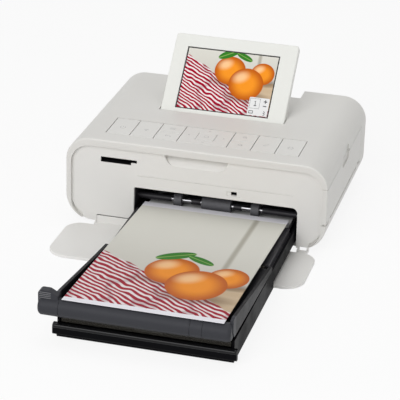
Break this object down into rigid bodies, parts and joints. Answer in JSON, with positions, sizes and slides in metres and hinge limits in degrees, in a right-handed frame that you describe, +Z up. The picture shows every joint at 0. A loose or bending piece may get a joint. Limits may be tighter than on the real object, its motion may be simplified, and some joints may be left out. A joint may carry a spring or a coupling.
{
  "type": "compact photo printer",
  "caption": "Desktop photo printer with a tilting screen, press keys, an open front door, a side door, a plug-in paper cassette with folding lids, and its rollers, print head and gears.",
  "frame": {"origin": "table level, under the middle of the housing's front face", "axes": "+X to the viewer's right, +Y back through the housing, +Z up"},
  "size_m": [0.1806, 0.3078, 0.1053],
  "materials": {
    "housing_white": "satin",
    "key_white": "satin",
    "panel_white": "satin",
    "door_white": "gloss",
    "screen_white": "gloss",
    "display": "gloss",
    "base_grey": "satin",
    "foot_rubber": "matte",
    "screw_steel": "satin",
    "tray_black": "gloss",
    "lid_smoke": "gloss",
    "lid_charcoal": "satin",
    "guide_black": "matte",
    "paper_white": "semi-gloss",
    "print_paper": "gloss",
    "lift_plastic": "satin",
    "spring_steel": "bright",
    "shaft_steel": "bright",
    "roller_rubber": "matte",
    "platen_rubber": "matte",
    "pinch_plastic": "satin",
    "gear_plastic": "satin",
    "pinion_brass": "satin",
    "chassis_steel": "zinc plated",
    "motor_steel": "satin",
    "cartridge_grey": "satin",
    "spool_plastic": "satin",
    "film_roll": "gloss",
    "film_strip": "gloss",
    "head_ceramic": "glazed",
    "sink_aluminium": "satin",
    "board_green": "semi-gloss",
    "socket_metal": "satin"
  },
  "bodies": {
    "housing": {"top_cover": "housing_white", "bottom_case": "base_grey", "front_panel": "panel_white", "rear_panel": "panel_white", "rubber_feet": "foot_rubber", "case_screws": "screw_steel", "key_board": "board_green", "main_board": "board_green", "card_socket": "socket_metal", "rear_sockets": "socket_metal", "paper_guide": "guide_black", "chassis": "chassis_steel", "motor_bracket": "chassis_steel", "feed_motor": "motor_steel", "ribbon_motor": "motor_steel", "cartridge_case": "cartridge_grey", "ink_ribbon": "film_strip"},
    "screen": {"screen_frame": "screen_white", "screen_back": "screen_white", "display_glass": "display"},
    "front_door": {"front_door": "door_white"},
    "ink_door": {"ink_door": "housing_white"},
    "cassette": {"cassette_tray": "tray_black", "cassette_rear_cover": "lid_charcoal", "paper_stack": "paper_white", "lift_plate": "lift_plastic", "lift_springs": "spring_steel", "print_sheet": "print_paper"},
    "outer_lid": {"outer_lid": "lid_charcoal"},
    "inner_lid": {"inner_lid": "lid_smoke"},
    "head": {"head_arm": "chassis_steel", "heat_sink": "sink_aluminium", "thermal_head": "head_ceramic"},
    "feed_roller": {"feed_roller": "shaft_steel", "feed_gear": "gear_plastic"},
    "motor_pinion": {"motor_pinion": "pinion_brass"},
    "idler": {"idler_gear": "gear_plastic"},
    "pickup": {"pickup_shaft": "shaft_steel", "pickup_rollers": "roller_rubber", "pickup_gear": "gear_plastic"},
    "pinch_roller": {"pinch_roller": "pinch_plastic"},
    "platen": {"platen_shaft": "shaft_steel", "platen_roller": "platen_rubber"},
    "take_up": {"take_up_spool": "spool_plastic", "used_film": "film_roll", "ribbon_gear": "gear_plastic"},
    "ribbon_pinion": {"ribbon_pinion": "pinion_brass"},
    "supply": {"supply_spool": "spool_plastic", "supply_film": "film_roll"},
    "power_key": {"power_key": "key_white"},
    "wireless_key": {"wireless_key": "key_white"},
    "menu_key": {"menu_key": "key_white"},
    "back_key": {"back_key": "key_white"},
    "four_way_pad": {"four_way_pad": "key_white"},
    "ok_key": {"ok_key": "key_white"},
    "zoom_in_key": {"zoom_in_key": "key_white"},
    "zoom_out_key": {"zoom_out_key": "key_white"},
    "edit_key": {"edit_key": "key_white"},
    "print_key": {"print_key": "key_white"}
  },
  "joints": [
    {"name": "screen_tilt", "type": "hinge", "parent": "housing", "child": "screen", "pos_m": [0, 0.0711, 0.06], "axis": [1, 0, 0], "range_deg": [-46, 0]},
    {"name": "front_door_hinge", "type": "hinge", "parent": "housing", "child": "front_door", "pos_m": [0, 0.0008, 0.001], "axis": [-1, 0, 0], "range_deg": [0, 2]},
    {"name": "ink_door_hinge", "type": "hinge", "parent": "housing", "child": "ink_door", "pos_m": [0.0891, 0.06, 0.023], "axis": [0, 1, 0], "range_deg": [0, 90]},
    {"name": "cassette_slide", "type": "slide", "parent": "housing", "child": "cassette", "axis": [0, -1, 0], "range_m": [0, 0.07]},
    {"name": "outer_lid_hinge", "type": "hinge", "parent": "cassette", "child": "outer_lid", "pos_m": [0.0139, -0.066, 0.0176], "axis": [-1, 0, 0], "range_deg": [0, 110], "deforming": ["print_sheet"]},
    {"name": "inner_lid_hinge", "type": "hinge", "parent": "cassette", "child": "inner_lid", "pos_m": [0.0139, -0.066, 0.0176], "axis": [-1, 0, 0], "range_deg": [0, 1]},
    {"name": "head_hinge", "type": "hinge", "parent": "housing", "child": "head", "pos_m": [0, 0.115, 0.0516], "axis": [1, 0, 0], "range_deg": [0, 4]},
    {"name": "feed_roller_spin", "type": "hinge", "parent": "housing", "child": "feed_roller", "pos_m": [0, 0.042, 0.0196], "axis": [1, 0, 0], "continuous": true},
    {"name": "motor_pinion_spin", "type": "hinge", "parent": "housing", "child": "motor_pinion", "pos_m": [0, 0.056, 0.02499], "axis": [1, 0, 0], "continuous": true},
    {"name": "idler_spin", "type": "hinge", "parent": "housing", "child": "idler", "pos_m": [0, 0.0255, 0.02015], "axis": [1, 0, 0], "continuous": true},
    {"name": "pickup_spin", "type": "hinge", "parent": "housing", "child": "pickup", "pos_m": [0, 0.015, 0.0205], "axis": [1, 0, 0], "continuous": true},
    {"name": "pinch_roller_spin", "type": "hinge", "parent": "housing", "child": "pinch_roller", "pos_m": [0, 0.042, 0.0272], "axis": [1, 0, 0], "continuous": true},
    {"name": "platen_spin", "type": "hinge", "parent": "housing", "child": "platen", "pos_m": [0, 0.078, 0.017], "axis": [1, 0, 0], "continuous": true},
    {"name": "take_up_spin", "type": "hinge", "parent": "housing", "child": "take_up", "pos_m": [0, 0.1, 0.036], "axis": [1, 0, 0], "continuous": true},
    {"name": "ribbon_pinion_spin", "type": "hinge", "parent": "housing", "child": "ribbon_pinion", "pos_m": [0, 0.112, 0.031], "axis": [1, 0, 0], "continuous": true},
    {"name": "supply_spin", "type": "hinge", "parent": "housing", "child": "supply", "pos_m": [0, 0.056, 0.036], "axis": [1, 0, 0], "continuous": true},
    {"name": "power_key_press", "type": "slide", "parent": "housing", "child": "power_key", "axis": [0, 0, -1], "range_m": [0, 0.0008], "stiffness_N_per_m": 800},
    {"name": "wireless_key_press", "type": "slide", "parent": "housing", "child": "wireless_key", "axis": [0, 0, -1], "range_m": [0, 0.0008], "stiffness_N_per_m": 800},
    {"name": "menu_key_press", "type": "slide", "parent": "housing", "child": "menu_key", "axis": [0, 0, -1], "range_m": [0, 0.0008], "stiffness_N_per_m": 800},
    {"name": "back_key_press", "type": "slide", "parent": "housing", "child": "back_key", "axis": [0, 0, -1], "range_m": [0, 0.0008], "stiffness_N_per_m": 800},
    {"name": "four_way_pad_press", "type": "slide", "parent": "housing", "child": "four_way_pad", "axis": [0, 0, -1], "range_m": [0, 0.0008], "stiffness_N_per_m": 800},
    {"name": "ok_key_press", "type": "slide", "parent": "housing", "child": "ok_key", "axis": [0, 0, -1], "range_m": [0, 0.0008], "stiffness_N_per_m": 800},
    {"name": "zoom_in_key_press", "type": "slide", "parent": "housing", "child": "zoom_in_key", "axis": [0, 0, -1], "range_m": [0, 0.0008], "stiffness_N_per_m": 800},
    {"name": "zoom_out_key_press", "type": "slide", "parent": "housing", "child": "zoom_out_key", "axis": [0, 0, -1], "range_m": [0, 0.0008], "stiffness_N_per_m": 800},
    {"name": "edit_key_press", "type": "slide", "parent": "housing", "child": "edit_key", "axis": [0, 0, -1], "range_m": [0, 0.0008], "stiffness_N_per_m": 800},
    {"name": "print_key_press", "type": "slide", "parent": "housing", "child": "print_key", "axis": [0, 0, -1], "range_m": [0, 0.0008], "stiffness_N_per_m": 800}
  ],
  "couplings": [
    {"joint": "motor_pinion_spin", "follows": "feed_roller_spin", "ratio": -4},
    {"joint": "idler_spin", "follows": "feed_roller_spin", "ratio": -2.6667},
    {"joint": "pickup_spin", "follows": "feed_roller_spin", "ratio": 2},
    {"joint": "pinch_roller_spin", "follows": "feed_roller_spin", "ratio": -1.25},
    {"joint": "platen_spin", "follows": "feed_roller_spin", "ratio": 0.57143},
    {"joint": "ribbon_pinion_spin", "follows": "take_up_spin", "ratio": -3.3333},
    {"joint": "supply_spin", "follows": "take_up_spin", "ratio": 0.58823}
  ]
}
